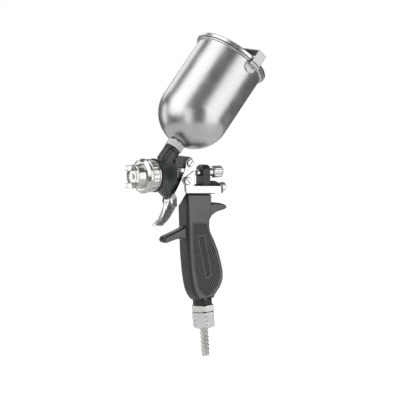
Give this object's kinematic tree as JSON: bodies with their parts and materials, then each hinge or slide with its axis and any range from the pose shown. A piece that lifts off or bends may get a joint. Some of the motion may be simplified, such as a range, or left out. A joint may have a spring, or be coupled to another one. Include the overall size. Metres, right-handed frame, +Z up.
{
  "type": "gravity feed spray gun",
  "caption": "Hand-held gravity-feed spray gun: metal cup with hinged lid, horned air cap, two-finger trigger moving a yoke and needle, pistol grip and barbed air inlet.",
  "frame": {"origin": "middle of the pistol grip, on the symmetry plane", "axes": "-X is the spray direction, +Z is up along the gun, and -Y is the side with the lid hinge"},
  "size_m": [0.1795, 0.0945, 0.37],
  "materials": {
    "head_paint": "satin dark green-black enamel",
    "black_metal": "satin black",
    "chrome": "polished",
    "nickel": "fine turned",
    "cup_steel": "satin brushed",
    "spring_steel": "drawn wire",
    "brass": "turned",
    "rubber": "matt",
    "grip": "moulded, satin",
    "grip_texture": "moulded diamond texture",
    "filter": "moulded"
  },
  "bodies": {
    "gun": {"gun_head": "head_paint", "inlet_collar": "black_metal", "fluid_nozzle": "nickel", "baffle_ring": "nickel", "packing_nut": "nickel", "needle_guide": "chrome", "needle_spring": "spring_steel", "spring_cap": "chrome", "control_block": "black_metal", "valve_seat": "brass", "valve_spring": "spring_steel", "valve_bush": "black_metal", "pivot_pin": "chrome", "pivot_nut": "chrome", "handle": "grip", "grip_panel_left": "grip_texture", "grip_panel_right": "grip_texture", "air_tube": "nickel", "handle_collar": "black_metal", "inlet_nut": "nickel", "inlet_seal": "rubber", "cup_shell": "cup_steel", "cup_outlet": "nickel", "paint_filter": "filter", "hinge_leaf": "chrome", "hinge_pin": "chrome"},
    "trigger": {"trigger": "chrome"},
    "yoke": {"yoke": "chrome", "link_screw_left": "chrome", "link_screw_right": "chrome", "valve_stem": "nickel", "valve_disc": "rubber"},
    "needle": {"needle": "chrome", "needle_collar": "brass"},
    "needle_knob": {"needle_knob": "chrome"},
    "valve_knob": {"valve_knob": "chrome"},
    "air_cap": {"air_cap": "chrome"},
    "ring": {"retaining_ring": "nickel"},
    "cup_nut": {"cup_nut": "nickel"},
    "lid": {"cup_lid": "cup_steel", "lid_gasket": "rubber", "vent_plug": "rubber", "lid_strap": "chrome"},
    "swivel": {"swivel_body": "nickel", "hose_tail": "nickel"}
  },
  "joints": [
    {"name": "trigger_pull", "type": "hinge", "parent": "gun", "child": "trigger", "pos_m": [-0.0203, 0, 0.0899], "axis": [0, -1, 0], "range_deg": [0, 16], "stiffness_Nm_per_rad": 1.5, "springref_deg": -20.05},
    {"name": "yoke_slide", "type": "slide", "parent": "gun", "child": "yoke", "axis": [1, 0, 0], "range_m": [0, 0.00562], "deforming": ["valve_spring"]},
    {"name": "needle_slide", "type": "slide", "parent": "gun", "child": "needle", "axis": [1, 0, 0], "range_m": [0, 0.0045], "deforming": ["needle_spring"]},
    {"name": "needle_knob_turn", "type": "hinge", "parent": "gun", "child": "needle_knob", "pos_m": [0.025, 0, 0.0773], "axis": [1, 0, 0], "continuous": true},
    {"name": "valve_knob_turn", "type": "hinge", "parent": "yoke", "child": "valve_knob", "pos_m": [0.033, 0, 0.0596], "axis": [1, 0, 0], "continuous": true},
    {"name": "air_cap_turn", "type": "hinge", "parent": "gun", "child": "air_cap", "pos_m": [-0.085, 0, 0.0773], "axis": [1, 0, 0], "continuous": true},
    {"name": "ring_turn", "type": "hinge", "parent": "gun", "child": "ring", "pos_m": [-0.07, 0, 0.0773], "axis": [1, 0, 0], "continuous": true},
    {"name": "cup_nut_turn", "type": "hinge", "parent": "gun", "child": "cup_nut", "pos_m": [-0.03301, 0, 0.10956], "axis": [0.6428, 0, 0.766], "continuous": true},
    {"name": "lid_open", "type": "hinge", "parent": "gun", "child": "lid", "pos_m": [0.04425, -0.04718, 0.20007], "axis": [0.7642, 0.0698, -0.6412], "range_deg": [0, 110]},
    {"name": "inlet_swivel", "type": "hinge", "parent": "gun", "child": "swivel", "pos_m": [0.00697, 0, -0.09493], "axis": [0.075, 0, -0.9972], "continuous": true}
  ],
  "couplings": [
    {"joint": "yoke_slide", "follows": "trigger_pull", "m_per_rad": 0.02007},
    {"joint": "needle_slide", "follows": "trigger_pull", "m_per_rad": 0.0161}
  ]
}
